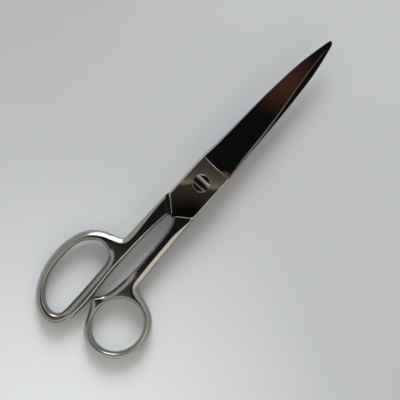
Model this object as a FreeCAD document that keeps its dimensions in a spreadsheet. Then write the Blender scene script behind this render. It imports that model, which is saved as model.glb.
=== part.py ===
import FreeCAD, Part
import math
import os
import Sketcher

# Fabric shears: two forged steel halves on a slotted pivot screw, kept by a washer and a thin nut.
#
# Millimetres. The pivot axis is Z through the origin, and the two halves meet in the plane z = 0.
# The blades point along +X, and the shears are closed.
#
# Each half is drawn in a frame of its own: blade along +X, back of the blade on the +Y side,
# handle on the -Y side, outer face up. The thumb half stays as drawn and lies on top. The finger
# half is given half a turn about X, so that the two forgings face each other.

SIZES = [
    # blade and flat joint, in plan
    ("tip_reach", 101.0, "pivot to the tip"),
    ("heel_reach", 11.5, "pivot to the step where the ground face starts"),
    ("back_heel", 9.2, "half-width on the back's side, at the heel"),
    ("back_middle", 7.7, "the same, halfway along the blade"),
    ("back_front", 5.1, "the same, near the front"),
    ("edge_heel", 9.0, "half-width on the cutting side, at the heel"),
    ("edge_middle", 6.4, "the same, halfway along the blade"),
    ("edge_front", 2.2, "the same, near the front"),
    ("front_reach", 80.0, "pivot to where the front widths are taken"),
    ("corner_reach", 15.0, "pivot back to the joint's corner on the back's side"),
    ("vee_reach", 23.6, "pivot back to the joint's point"),
    ("vee_drop", 0.6, "that point below the middle"),
    ("shoulder_reach", 17.2, "pivot back to the joint's corner on the handle's side"),
    # blade and flat joint, in section
    ("plate_top", 3.5, "outer face above the meeting plane"),
    ("seam", 0.03, "each half's share of the running gap"),
    ("back_high_heel", 3.35, "height of the blade's back, at the heel"),
    ("edge_high_heel", 1.5, "height of its cutting side, at the heel"),
    ("back_high_tip", 1.5, "height of the back, at the tip"),
    ("edge_high_tip", 0.9, "height of the cutting side, at the tip"),
    ("edge_bevel", 0.5, "bevel along the cutting edge"),
    ("seat_gap", 2.0, "space between the joint's point and the other half's shoulder"),
    # handles
    ("handle_thick", 6.4, "thickness of shanks, ring and bow"),
    ("thumb_round", 1.6, "rounding of the thumb half's handle"),
    ("finger_round", 1.8, "rounding of the finger half's handle"),
    ("crotch_round", 3.6, "hollow corner between shank and ring or bow"),
    ("shank_wide", 9.7, "shank's outer side from the middle line"),
    ("shank_inner", 3.1, "shank's inner side from the middle line"),
    # thumb ring and stop
    ("ring_reach", 84.6, "pivot back to the middle of the thumb hole"),
    ("ring_drop", 18.0, "and sideways"),
    ("ring_long", 14.5, "half the hole's length"),
    ("ring_wide", 12.8, "half the hole's width"),
    ("ring_band", 4.4, "width of the ring's band"),
    ("horn_reach", 83.0, "pivot back to the stop"),
    ("horn_rise", 1.3, "stop past the middle line"),
    ("horn_thick", 5.0, "thickness of the stop"),
    # finger bow
    ("bow_reach", 109.2, "pivot back to the bow's far end"),
    ("bow_wall", 6.2, "width of the bow's straight side and far end"),
    ("bow_side", 1.4, "bow's straight side from the middle line"),
    ("hole_near", 58.3, "pivot back to the hole's near end"),
    # screw, washer and nut
    ("screw_shank", 3.0, "radius of the screw's plain shank"),
    ("shank_bore", 3.05, "its bore in the thumb half"),
    ("screw_head", 4.55, "radius of the head"),
    ("head_bore", 4.65, "its counterbore"),
    ("head_high", 1.9, "height of the head"),
    ("head_sink", 0.05, "head below the outer face"),
    ("slot_wide", 4.6, "width of the driver slot"),
    ("slot_deep", 1.0, "and its depth"),
    ("thread", 2.45, "radius of the screw's thread"),
    ("thread_bore", 2.5, "its bore in the finger half and the nut"),
    ("washer_round", 5.2, "washer's radius"),
    ("washer_bore", 2.65, "and its bore"),
    ("washer_thick", 0.6, "and its thickness"),
    ("nut_flats", 8.0, "nut across flats"),
    ("nut_thick", 2.2, "and its thickness"),
    ("screw_end", 0.3, "screw past the nut"),
    ("small_chamfer", 0.3, "chamfer on screw, washer and nut"),
]

doc = FreeCAD.newDocument("fabric_shears")
sheet = doc.addObject("Spreadsheet::Sheet", "Sizes")
for row, (alias, value, meaning) in enumerate(SIZES, start=1):
    sheet.set(f"A{row}", alias)
    sheet.set(f"B{row}", str(value))
    sheet.set(f"C{row}", meaning)
    sheet.setAlias(f"B{row}", alias)
doc.recompute()


def size(alias):
    """The value of one cell of the sheet."""
    return float(getattr(sheet, alias))


# ---------------------------------------------------------------- sketch helpers


def flat(x, y):
    return FreeCAD.Vector(x, y, 0)


def origin_plane(body, role):
    return next(f for f in body.Origin.OriginFeatures if f.Role == role)


def new_sketch(body, name, role="XY_Plane", raised=None):
    """A sketch on one of the body's origin planes, raised from it by an expression if one is given."""
    sketch = body.newObject("Sketcher::SketchObject", name)
    sketch.AttachmentSupport = [(origin_plane(body, role), "")]
    sketch.MapMode = "FlatFace"
    if raised is not None:
        sketch.setExpression("AttachmentOffset.Base.z", raised)
    return sketch


def add_chain(sketch, pieces):
    """A closed chain of edges, each tied to the next one where their ends meet."""
    first = sketch.GeometryCount
    sketch.addGeometry(pieces, False)
    count = len(pieces)
    for i in range(count):
        here, following = first + i, first + (i + 1) % count
        meeting = [
            (end, start)
            for end in (1, 2)
            for start in (1, 2)
            if (sketch.getPoint(here, end) - sketch.getPoint(following, start)).Length < 1e-6
        ]
        end, start = meeting[0]
        sketch.addConstraint(Sketcher.Constraint("Coincident", here, end, following, start))


def polygon(points):
    """Straight edges round a closed polygon of (x, y) points."""
    corners = [flat(x, y) for x, y in points]
    return [Part.LineSegment(a, b) for a, b in zip(corners, corners[1:] + corners[:1])]


def rounded(corners):
    """Lines and tangent arcs round a closed polygon of (x, y, corner radius)."""
    points = [flat(x, y) for x, y, _ in corners]
    turns = []
    for i, (_, _, radius) in enumerate(corners):
        here = points[i]
        if radius == 0:
            turns.append((here, None, here))
            continue
        back = (points[i - 1] - here).normalize()
        ahead = (points[(i + 1) % len(points)] - here).normalize()
        half = back.getAngle(ahead) / 2
        reach = radius / math.tan(half)
        middle = here + (back + ahead).normalize() * (radius / math.sin(half) - radius)
        turns.append((here + back * reach, middle, here + ahead * reach))
    pieces = []
    for i, (start, middle, end) in enumerate(turns):
        if middle is not None:
            pieces.append(Part.Arc(start, middle, end))
        following = turns[(i + 1) % len(turns)][0]
        pieces.append(Part.LineSegment(end, following))
    return pieces


def add_circle(sketch, radius):
    """A circle about the sketch's origin, its radius bound to a cell."""
    index = sketch.addGeometry(Part.Circle(flat(0, 0), FreeCAD.Vector(0, 0, 1), size(radius)), False)
    sketch.addConstraint(Sketcher.Constraint("Coincident", index, 3, -1, 1))
    bound = sketch.addConstraint(Sketcher.Constraint("Radius", index, size(radius)))
    sketch.setExpression(f"Constraints[{bound}]", f"Sizes.{radius}")


# ---------------------------------------------------------------- feature helpers


def pad(body, name, sketch, length, midplane=False):
    feature = body.newObject("PartDesign::Pad", name)
    feature.Profile = sketch
    feature.setExpression("Length", length)
    feature.Midplane = midplane
    doc.recompute()
    return feature


def pocket(body, name, sketch, length=None, upwards=False):
    """Cuts the sketch's area away, downwards unless told otherwise, and makes sure that it cut."""
    before = body.Shape.Volume
    feature = body.newObject("PartDesign::Pocket", name)
    feature.Profile = sketch
    if length is None:
        feature.Type = "ThroughAll"
    else:
        feature.setExpression("Length", length)
    feature.Reversed = upwards
    doc.recompute()
    if not body.Shape.Volume < before - 1e-3:
        raise RuntimeError(f"{name} cuts nothing")
    return feature


def revolve(body, name, sketch):
    feature = body.newObject("PartDesign::Revolution", name)
    feature.Profile = sketch
    feature.ReferenceAxis = (sketch, ["V_Axis"])
    feature.Angle = 360
    doc.recompute()
    return feature


def long_edges(shape):
    """Names of the edges that lie in a handle's top and bottom faces, except its cut front end."""
    names = []
    for number, edge in enumerate(shape.Edges, start=1):
        box = edge.BoundBox
        level = box.ZLength < 1e-6 and abs(box.ZMin) > 1.0
        front = box.XLength < 1e-3 and box.XMin > -size("shoulder_reach")
        if level and not front:
            names.append(f"Edge{number}")
    return names


def new_body(label):
    body = doc.addObject("PartDesign::Body", label)
    body.Label = label
    return body


# ---------------------------------------------------------------- the two halves


def thumb_handle():
    """Outline of the thumb half's shank and ring."""
    ring_x, ring_y, band = -size("ring_reach"), -size("ring_drop"), size("ring_band")
    near, far = ring_x + size("ring_long") + band, ring_x - size("ring_long") - band
    low = ring_y - size("ring_wide") - band
    front, wide, inner = -14.0, -size("shank_wide"), -size("shank_inner")
    return rounded([
        (front, wide, 0),
        (near + 1.6, wide - 3.1, size("crotch_round")),
        (near, low, 15.4),
        (far, low, 16.0),
        (far, ring_y + 9.6, 12.0),
        (-size("horn_reach") - 2.0, -0.4, 5.0),
        (-size("horn_reach") + 7.0, inner, 6.0),
        (-60.0, inner - 2.3, 60.0),
        (-34.0, inner - 1.4, 40.0),
        (front, inner + 4.0, 0),
    ])


def thumb_hole():
    middle = flat(-size("ring_reach"), -size("ring_drop"))
    return [Part.Ellipse(middle, size("ring_long"), size("ring_wide"))]


def finger_handle():
    """Outline of the finger half's shank and bow, a D with its straight side inwards."""
    far, side = -size("bow_reach"), -size("bow_side")
    near = -size("hole_near") + size("bow_wall")
    front, wide, inner = -14.0, -size("shank_wide"), -size("shank_inner")
    return rounded([
        (front, wide, 0),
        (near + 2.2, wide - 0.4, size("crotch_round")),
        (near - 2.8, -25.4, 14.0),
        (-77.4, -36.6, 40.0),
        (far, -22.4, 18.0),
        (far, side, 8.5),
        (-84.0, side, 120.0),
        (-58.0, side - 1.7, 80.0),
        (-34.0, inner, 40.0),
        (front, inner + 4.0, 0),
    ])


def finger_hole():
    far, near = -size("bow_reach") + size("bow_wall"), -size("hole_near")
    side = -size("bow_side") - size("bow_wall")
    return rounded([
        (near, side - 0.3, 7.3),
        (near, -22.3, 7.8),
        (-79.9, -32.0, 34.0),
        (far, -19.3, 10.6),
        (far, side, 5.0),
    ])


def plate_outline():
    """Blade and flat joint in plan: two long curves that meet at a rounded tip, and a vee behind."""
    tip, heel, front = size("tip_reach"), size("heel_reach"), size("front_reach")
    middle = (heel + front) / 2
    back = Part.BSplineCurve()
    back.interpolate([
        flat(tip - 0.4, 0.55),
        flat(front, size("back_front")),
        flat(middle, size("back_middle")),
        flat(heel, size("back_heel")),
    ])
    edge = Part.BSplineCurve()
    edge.interpolate([
        flat(heel, -size("edge_heel")),
        flat(middle, -size("edge_middle")),
        flat(front, -size("edge_front")),
        flat(tip - 0.4, -0.15),
    ])
    corner = flat(-size("corner_reach"), size("back_heel") - 0.1)
    vee = flat(-size("vee_reach"), -size("vee_drop"))
    shoulder = flat(-size("shoulder_reach"), -size("edge_heel") - 0.2)
    return [
        back,
        Part.LineSegment(flat(heel, size("back_heel")), corner),
        Part.LineSegment(corner, vee),
        Part.LineSegment(vee, shoulder),
        Part.LineSegment(shoulder, flat(heel, -size("edge_heel"))),
        edge,
        Part.LineSegment(flat(tip - 0.4, -0.15), flat(tip, 0.2)),
        Part.LineSegment(flat(tip, 0.2), flat(tip - 0.4, 0.55)),
    ]


def blade_relief(body, name, raised, back_high, edge_high):
    """Section of the space above the ground face, across the blade."""
    sketch = new_sketch(body, name, "YZ_Plane", raised)
    sketch.addGeometry(polygon([
        (12.0, size(back_high)),
        (12.0, 6.0),
        (-12.0, 6.0),
        (-12.0, size(edge_high)),
    ]), False)
    return sketch


def seat_outline():
    """Space for the other half's joint: everything ahead of a line alongside its point."""
    corner = flat(-size("corner_reach"), -size("back_heel"))
    vee = flat(-size("vee_reach"), size("vee_drop"))
    along = (corner - vee).normalize()
    aside = FreeCAD.Vector(along.y, -along.x, 0) * size("seat_gap")
    if aside.x > 0:
        aside = aside * -1
    low, high = corner + aside + along * 8.0, vee + aside - along * 8.0
    return polygon([(low.x, low.y), (20.0, low.y), (20.0, high.y), (high.x, high.y)])


def build_half(label, handle, hole, rounding):
    """One forging: handle, stop if it has one, flat joint, blade and the seat for the other half."""
    body = new_body(label)

    outline = new_sketch(body, f"{label}_handle_outline")
    add_chain(outline, handle)
    outline.addGeometry(hole, False)
    handle_pad = pad(body, f"{label}_handle", outline, "Sizes.handle_thick", midplane=True)

    fillet = body.newObject("PartDesign::Fillet", f"{label}_handle_rounding")
    fillet.Base = (handle_pad, long_edges(handle_pad.Shape))
    fillet.setExpression("Radius", f"Sizes.{rounding}")
    doc.recompute()

    if label == "thumb_half":
        horn = new_sketch(body, "stop_outline")
        x, y = -size("horn_reach"), size("horn_rise")
        add_chain(horn, rounded([
            (x, y + 0.35, 0.8),
            (x + 5.4, -4.2, 3.0),
            (x + 1.0, -5.0, 0),
            (x - 9.0, -5.6, 0),
            (x - 9.0, -3.8, 6.0),
        ]))
        pad(body, "stop", horn, "Sizes.horn_thick", midplane=True)

    seat = new_sketch(body, f"{label}_seat_outline", raised="Sizes.seam")
    seat.addGeometry(seat_outline(), False)
    pocket(body, f"{label}_seat", seat)

    plate = new_sketch(body, f"{label}_plate_outline", raised="Sizes.seam")
    plate.addGeometry(plate_outline(), False)
    pad(body, f"{label}_plate", plate, "Sizes.plate_top - Sizes.seam")

    heel = blade_relief(body, f"{label}_heel_section", "Sizes.heel_reach", "back_high_heel", "edge_high_heel")
    tip = blade_relief(body, f"{label}_tip_section", "Sizes.tip_reach + 1", "back_high_tip", "edge_high_tip")
    before = body.Shape.Volume
    ground = body.newObject("PartDesign::SubtractiveLoft", f"{label}_ground_face")
    ground.Profile = heel
    ground.Sections = [tip]
    ground.Ruled = True
    doc.recompute()
    if not body.Shape.Volume < before:
        raise RuntimeError("the ground face cuts nothing")

    bevel = body.newObject("PartDesign::Chamfer", f"{label}_cutting_edge")
    bevel.Base = (ground, cutting_edges(ground.Shape))
    bevel.setExpression("Size", "Sizes.edge_bevel")
    doc.recompute()
    return body


def cutting_edges(shape):
    """Name of the long upper edge on the blade's cutting side."""
    for number, edge in enumerate(shape.Edges, start=1):
        box = edge.BoundBox
        if box.XMin > size("heel_reach") - 0.1 and box.XLength > 60 and box.YMax < 0.5 and box.ZMin > 0.5:
            return [f"Edge{number}"]
    raise RuntimeError("no cutting edge found")


thumb = build_half("thumb_half", thumb_handle(), thumb_hole(), "thumb_round")
head_seat = new_sketch(thumb, "head_seat_outline", raised="Sizes.plate_top")
add_circle(head_seat, "head_bore")
pocket(thumb, "head_seat", head_seat, "Sizes.head_high + Sizes.head_sink * 2")
bore = new_sketch(thumb, "pivot_bore_outline", raised="Sizes.plate_top")
add_circle(bore, "shank_bore")
pocket(thumb, "pivot_bore", bore)

finger = build_half("finger_half", finger_handle(), finger_hole(), "finger_round")
thread = new_sketch(finger, "thread_outline", raised="Sizes.plate_top")
add_circle(thread, "thread_bore")
pocket(finger, "thread_bore", thread)
finger.Placement = FreeCAD.Placement(flat(0, 0), FreeCAD.Rotation(FreeCAD.Vector(1, 0, 0), 180))


# ---------------------------------------------------------------- screw, washer and nut


def ring_profile(inner, outer, low, high, cut):
    """Half section of a round piece with both outer corners chamfered."""
    return polygon([
        (inner, low),
        (outer - cut, low),
        (outer, low + cut),
        (outer, high - cut),
        (outer - cut, high),
        (inner, high),
    ])


def screw_profile():
    """Half section of the pivot screw: flush head, plain shank through the thumb half, thread."""
    cut, thread_r = size("small_chamfer"), size("thread")
    shank, head = size("screw_shank"), size("screw_head")
    top = size("plate_top") - size("head_sink")
    under = top - size("head_high")
    end = -size("plate_top") - size("washer_thick") - size("nut_thick") - size("screw_end")
    return polygon([
        (0, end),
        (thread_r - cut, end),
        (thread_r, end + cut),
        (thread_r, -size("seam")),
        (shank, -size("seam")),
        (shank, under),
        (head, under),
        (head, top - cut),
        (head - cut, top),
        (0, top),
    ])


screw = new_body("pivot_screw")
profile = new_sketch(screw, "screw_profile", "XZ_Plane")
profile.addGeometry(screw_profile(), False)
revolve(screw, "screw_turned", profile)
slot = new_sketch(screw, "slot_outline", raised="Sizes.plate_top")
half_slot = size("slot_wide") / 2
past_head = size("screw_head") + 1.5
slot.addGeometry(polygon([
    (-half_slot, -past_head),
    (half_slot, -past_head),
    (half_slot, past_head),
    (-half_slot, past_head),
]), False)
pocket(screw, "driver_slot", slot, "Sizes.slot_deep + Sizes.head_sink")

washer = new_body("lock_washer")
profile = new_sketch(washer, "washer_profile", "XZ_Plane")
washer_high = -size("plate_top")
washer_low = washer_high - size("washer_thick")
washer_section = ring_profile(size("washer_bore"), size("washer_round"), washer_low, washer_high, 0.15)
profile.addGeometry(washer_section, False)
revolve(washer, "washer_turned", profile)

nut = new_body("pivot_nut")
hexagon = new_sketch(nut, "nut_outline", raised="-Sizes.plate_top - Sizes.washer_thick")
corner_radius = size("nut_flats") / math.sqrt(3)
hexagon.addGeometry(polygon([
    (corner_radius * math.cos(math.radians(60 * i)), corner_radius * math.sin(math.radians(60 * i)))
    for i in range(6)
]), False)
add_circle(hexagon, "thread_bore")
nut_pad = pad(nut, "nut_blank", hexagon, "Sizes.nut_thick")
nut_pad.Reversed = True
doc.recompute()
crown = new_sketch(nut, "nut_crown_profile", "XZ_Plane")
crown_low = -size("plate_top") - size("washer_thick") - size("nut_thick")
crown.addGeometry(polygon([
    (size("nut_flats") / 2 - 0.1, crown_low),
    (size("nut_flats") / 2 + 1.2, crown_low),
    (size("nut_flats") / 2 + 1.2, crown_low + 0.75),
]), False)
crown_cut = nut.newObject("PartDesign::Groove", "nut_crown")
crown_cut.Profile = crown
crown_cut.ReferenceAxis = (crown, ["V_Axis"])
crown_cut.Angle = 360
volume_before = nut_pad.Shape.Volume
doc.recompute()
if not nut.Shape.Volume < volume_before:
    raise RuntimeError("the nut's crown cuts nothing")

# ---------------------------------------------------------------- checks and export

bodies = [thumb, finger, screw, washer, nut]
for item in doc.Objects:
    if "Invalid" in item.State or "Error" in item.State:
        raise RuntimeError(f"{item.Name} failed: {item.State}")
for body in bodies:
    if body.Shape.isNull() or not body.Shape.isValid() or len(body.Shape.Solids) != 1:
        raise RuntimeError(f"{body.Label} is not one valid solid")

os.makedirs("parts", exist_ok=True)
for body in bodies:
    body.Shape.exportStep(f"parts/{body.Label}.step")
    box = body.Shape.BoundBox
    print(body.Label, round(body.Shape.Volume, 1), [round(v, 2) for v in (
        box.XMin, box.XMax, box.YMin, box.YMax, box.ZMin, box.ZMax)])
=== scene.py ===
import math
import bpy
import numpy as np
from mathutils import Matrix, Vector


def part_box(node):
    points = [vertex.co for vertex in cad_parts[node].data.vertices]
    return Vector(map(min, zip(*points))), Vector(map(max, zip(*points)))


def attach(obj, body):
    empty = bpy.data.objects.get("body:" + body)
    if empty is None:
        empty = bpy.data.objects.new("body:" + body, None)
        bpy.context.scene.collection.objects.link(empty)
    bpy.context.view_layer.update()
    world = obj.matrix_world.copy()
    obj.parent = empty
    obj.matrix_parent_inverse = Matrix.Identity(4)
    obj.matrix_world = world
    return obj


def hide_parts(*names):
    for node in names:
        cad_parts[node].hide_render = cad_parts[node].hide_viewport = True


# Fabric shears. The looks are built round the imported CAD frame, in metres; shape helpers work in
# millimetres. Both halves are drawn in one half frame: blade along +X, back of the blade on +Y,
# handle on -Y, outer face up. The finger half is then turned over about X.

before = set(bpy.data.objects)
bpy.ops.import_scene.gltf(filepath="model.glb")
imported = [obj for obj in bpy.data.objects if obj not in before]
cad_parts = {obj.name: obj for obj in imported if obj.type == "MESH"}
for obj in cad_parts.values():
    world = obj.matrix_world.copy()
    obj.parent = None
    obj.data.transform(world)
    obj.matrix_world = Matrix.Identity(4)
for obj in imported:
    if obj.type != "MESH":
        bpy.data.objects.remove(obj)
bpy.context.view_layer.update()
MM = 0.001

# ---------------------------------------------------------------- sizes, in millimetres

PLATE_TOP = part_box("thumb_half")[1].z / MM     # outer face of the flat joint above the meeting plane
SEAM = 0.03                                    # each half's share of the running gap
SEAT_GAP = 2.0                                 # the seat's shoulder stands this far off the other joint
HANDLE_CAP = 3.25                              # height of the shanks' flat tops
CORNER = (-15.0, 9.1)                          # the flat joint's free corner
VEE = (-23.5, -0.5)                            # its point
SHOULDER = (-17.2, -9.25)                      # and its corner on the handle's side
HEEL = 11.2                                    # where the ground face starts
TIP = 101.0
FACE_SLOPE = 0.062                             # fall of the ground face from the back to the edge
BACK_HIGH, BACK_FALL = 3.3, 1.75               # the blade's back: height at the heel, and fall by the tip
FACE_HOLLOW = 0.07                             # how deep the ground face is dished
FILLET = 0.6                                   # hollow corner at the foot of the heel
JOINT_BEVEL, JOINT_BEVEL_DROP = 1.2, 0.5       # the joint's bevel on the handle's side
JOINT_CHAMFER, JOINT_CHAMFER_DROP = 0.85, 0.55   # and its chamfer along the free side
HEAD_BORE, BORE_FLOOR = 4.65, 1.2              # the screw head's seat: radius, and height of its floor
BORE_EDGE = 0.12                               # depth of the chamfer at its mouth
BORE_FLARE, BORE_OVER = 0.42, 0.3              # end of that chamfer's cutter: out from the bore, and up
HEAD_HIGH = 1.9
THREAD, SHANK, END_CHAMFER = 2.45, 3.0, 0.3    # the screw's radii below its head, and the chamfer on its end
SLOT_HALF, SLOT_DEEP = 2.4, 0.95               # half the driver slot's width, and its depth in the middle
SLOT_HOLLOW, SLOT_SWEEP = 5.5, 30.0            # radii of its floor, across the slot and along it
NOSE, NOSE_Y = 1.1, 0.2                        # the tip's rounding and its middle

# ---------------------------------------------------------------- curves


def spline(points, closed=False, step=0.3):
    """Points every step along a centripetal Catmull-Rom curve through the given points."""
    p = np.array(points, float)
    n = len(p)
    if closed:
        p = np.vstack([p[-1:], p, p[:2]])
    else:
        p = np.vstack([2 * p[0] - p[1], p, 2 * p[-1] - p[-2]])
    out = []
    for i in range(n if closed else n - 1):
        a, b, c, d = p[i:i + 4]
        k1 = np.linalg.norm(b - a) ** 0.5
        k2 = k1 + np.linalg.norm(c - b) ** 0.5
        k3 = k2 + np.linalg.norm(d - c) ** 0.5
        count = max(2, int(np.linalg.norm(c - b) / step))
        u = np.linspace(k1, k2, count, endpoint=False)[:, None]
        ab = (k1 - u) / k1 * a + u / k1 * b
        bc = (k2 - u) / (k2 - k1) * b + (u - k1) / (k2 - k1) * c
        cd = (k3 - u) / (k3 - k2) * c + (u - k2) / (k3 - k2) * d
        abc = (k2 - u) / k2 * ab + u / k2 * bc
        bcd = (k3 - u) / (k3 - k1) * bc + (u - k1) / (k3 - k1) * cd
        out.append((k2 - u) / (k2 - k1) * abc + (u - k1) / (k2 - k1) * bcd)
    if not closed:
        out.append(p[-2:-1])
    return np.vstack(out)


def along(points, x):
    """The y of a smooth curve through (x, y) points, at x."""
    line = spline(points, step=0.5)
    return np.interp(x, line[:, 0], line[:, 1])


def smooth(a, b, x):
    """0 below a, 1 above b, with a smooth rise between them."""
    k = np.clip((np.asarray(x, float) - a) / (b - a), 0, 1)
    return k * k * (3 - 2 * k)


def inside_distance(points, line):
    """Distance of each point to a closed line, positive inside it."""
    out = np.empty(len(points))
    ax, ay = line[:, 0], line[:, 1]
    bx, by = np.roll(ax, -1), np.roll(ay, -1)
    dx, dy = bx - ax, by - ay
    length2 = dx * dx + dy * dy
    rise = np.where(dy == 0, 1e-12, dy)
    for i in range(0, len(points), 256):
        px, py = points[i:i + 256, :1] - ax, points[i:i + 256, 1:] - ay
        k = np.clip((px * dx + py * dy) / length2, 0, 1)
        near = np.sqrt(((px - k * dx) ** 2 + (py - k * dy) ** 2).min(1))
        crosses = (py < 0) != (py < dy)
        odd = (crosses & (px < dx * py / rise)).sum(1) % 2 == 1
        out[i:i + 256] = np.where(odd, near, -near)
    return out


class Field:
    """The signed distance to a closed line, kept on a grid and read from it by cubic interpolation."""

    STEP = 0.25

    def __init__(self, line, low, high):
        self.low = np.asarray(low) - 3 * self.STEP
        counts = np.ceil((np.asarray(high) - self.low) / self.STEP).astype(int) + 4
        xs, ys = (self.low[i] + self.STEP * np.arange(counts[i]) for i in (0, 1))
        gx, gy = np.meshgrid(xs, ys, indexing="ij")
        self.grid = inside_distance(np.stack([gx.ravel(), gy.ravel()], axis=1), line).reshape(gx.shape)

    def at(self, xy):
        place = (xy - self.low) / self.STEP
        cell = np.clip(np.floor(place).astype(int), 1, np.array(self.grid.shape) - 3)
        t = place - cell
        weights = []
        for axis in (0, 1):
            u = t[:, axis]
            weights.append([-0.5 * u ** 3 + u ** 2 - 0.5 * u, 1.5 * u ** 3 - 2.5 * u ** 2 + 1,
                            -1.5 * u ** 3 + 2 * u ** 2 + 0.5 * u, 0.5 * u ** 3 - 0.5 * u ** 2])
        total = 0
        for i in range(4):
            for j in range(4):
                stored = self.grid[cell[:, 0] + i - 1, cell[:, 1] + j - 1]
                total = total + weights[0][i] * weights[1][j] * stored
        return total


# ---------------------------------------------------------------- handles

THUMB_OUTSIDE = [
    (-12.0, -7.6), (-15.4, -9.1), (-18.0, -9.9), (-26.0, -10.2), (-35.0, -10.5), (-50.0, -11.2),
    (-58.0, -11.8), (-61.6, -12.4), (-63.9, -13.7), (-64.9, -16.0), (-65.5, -19.0), (-66.9, -23.6),
    (-69.3, -28.2), (-73.4, -32.0), (-78.5, -34.3), (-84.3, -35.1), (-90.2, -34.3), (-95.2, -31.9),
    (-99.4, -28.0), (-102.2, -23.0), (-103.4, -17.8), (-102.9, -13.2), (-101.0, -9.4), (-98.2, -6.7),
    (-94.5, -4.5), (-90.5, -2.6), (-87.0, -0.9), (-84.6, 0.55), (-83.1, 1.2), (-81.9, 0.8),
    (-80.4, -0.7), (-77.8, -2.3), (-74.0, -3.5), (-69.0, -4.3), (-60.0, -5.0), (-50.0, -4.9),
    (-40.0, -4.5), (-30.0, -3.7), (-26.0, -2.7), (-22.5, -1.0), (-17.0, 0.0), (-12.0, 0.0),
]
THUMB_HOLE = (-84.6, -18.15, 14.55, 13.15)      # middle x and y, and the two half lengths
FINGER_OUTSIDE = [
    (-12.0, -8.0), (-15.2, -9.2), (-17.6, -9.8), (-27.0, -9.9), (-38.0, -9.95), (-45.5, -9.95),
    (-48.6, -10.4), (-50.2, -12.2), (-51.3, -15.6), (-53.0, -20.0), (-56.0, -24.5), (-60.2, -28.2),
    (-65.0, -30.4), (-71.0, -31.8), (-77.5, -32.3), (-84.5, -31.8), (-91.0, -30.3), (-97.0, -27.7),
    (-102.2, -24.3), (-106.0, -20.3), (-108.2, -16.2), (-109.1, -12.2), (-108.6, -8.6), (-107.0, -5.8),
    (-104.4, -3.7), (-101.0, -2.5), (-96.0, -1.8), (-90.0, -1.45), (-84.0, -1.55), (-76.0, -2.15),
    (-68.0, -2.75), (-60.0, -3.05), (-50.0, -3.2), (-40.0, -3.0), (-31.0, -2.5), (-25.0, -1.9),
    (-21.0, -0.4), (-12.0, 0.0),
]
FINGER_HOLE = [
    (-58.3, -17.0), (-58.45, -14.4), (-59.6, -11.5), (-62.0, -9.4), (-65.2, -8.4), (-71.0, -8.05),
    (-81.0, -7.75), (-91.0, -7.6), (-97.0, -7.7), (-100.4, -8.5), (-102.3, -10.6), (-102.8, -13.4),
    (-101.9, -16.8), (-99.5, -20.1), (-95.5, -23.4), (-90.5, -25.8), (-85.0, -27.1), (-78.5, -27.6),
    (-72.0, -27.3), (-67.0, -26.2), (-63.0, -24.0), (-60.2, -21.0), (-58.8, -19.2),
]

# dents at the outline: x, y, radius and depth
THUMB_MARKS = [(-32.0, -10.4, 0.6, 0.2)]
FINGER_MARKS = [(-91.0, -28.6, 0.7, 0.35)]

BOW_ROUND, SHANK_ROUND = 13.0, 15.0    # how fast a handle's squared height rises from its outline
BOW_EASE, SHANK_EASE = 4.0, 9.0        # how sharply that rise turns into the faces above it
BOW_NEAR, SHANK_FAR = -68.0, -52.0     # x between which the bow's values pass into the shank's
STRIP_SLOPE = 0.52                     # fall of the sloped strips along the shanks
STRIP_CREASE = 0.2                     # height over which their upper edge is rounded
OUTER_FOOT, OUTER_SLOPE = 0.7, 1.3     # the bow's broad face: height at the outline, and rise inwards
OUTER_CROWN = 0.16                     # how that rise eases off
INNER_FOOT, INNER_SLOPE = 1.6, 1.5     # its narrow face
CREST = 1.25                           # height over which the crest between them is rounded
BOW_CAP, BOW_CREASE = 3.2, 0.3         # the flat where neither reaches, and the rounding at its edge
HORN, HORN_SPREAD, HORN_TOP = (-81.9, -1.0), 14.0, 2.9   # the stop: middle, spread and height of its flat top
NET_STEP = 0.42                        # cell of the grid that a handle's surface is drawn on
NET_SHIFT = 0.37                       # share of a cell that keeps its levels off the middle plane
LONGEST_MOVE = 0.25                    # and how far a point may move at a time as it settles


class Handle:
    """The rounded solid |z| < sqrt(height2(x, y)) over an outline with a hole in it."""

    def __init__(self, outside, hole, facet, marks):
        self.marks = marks
        self.low, self.high = outside.min(0) - 1.5, outside.max(0) + 1.5
        self.outside, self.hole = (Field(line, self.low, self.high) for line in (outside, hole))
        self.facet = facet

    def height2(self, xy):
        edge = self.outside.at(xy)
        gap = -self.hole.at(xy)
        for x, y, wide, deep in self.marks:
            edge = edge - deep * np.exp(-((xy[:, 0] - x) ** 2 + (xy[:, 1] - y) ** 2) / wide ** 2)
        depth = np.minimum(edge, gap)
        shank = smooth(BOW_NEAR, SHANK_FAR, xy[:, 0])
        outer, inner = np.clip(edge, 1e-6, None), np.clip(gap, 1e-6, None)
        band = outer * inner / (outer + inner)
        rise = (BOW_ROUND + (SHANK_ROUND - BOW_ROUND) * shank) * np.where(depth > 0, band, depth)
        cap = self.facet(xy[:, 0], xy[:, 1], edge, gap)
        full = np.clip(rise, 1e-9, None)
        ease = BOW_EASE + (SHANK_EASE - BOW_EASE) * shank
        eased = (full ** -ease + cap ** (-2 * ease)) ** (-1 / ease)
        return np.where(rise > 0, eased, rise)

    def value(self, p):
        return p[:, 2] ** 2 - self.height2(p[:, :2])

    def slope(self, p, step=0.02):
        right, left = p[:, :2] + [step, 0], p[:, :2] - [step, 0]
        up, down = p[:, :2] + [0, step], p[:, :2] - [0, step]
        gx = (self.height2(left) - self.height2(right)) / (2 * step)
        gy = (self.height2(down) - self.height2(up)) / (2 * step)
        return np.stack([gx, gy, 2 * p[:, 2]], axis=1)


def soft_min(a, b, width):
    """The smaller of two heights, with their crease rounded over about width."""
    k = np.clip(0.5 + 0.5 * (b - a) / width, 0, 1)
    return b * (1 - k) + a * k - width * k * (1 - k)


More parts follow.
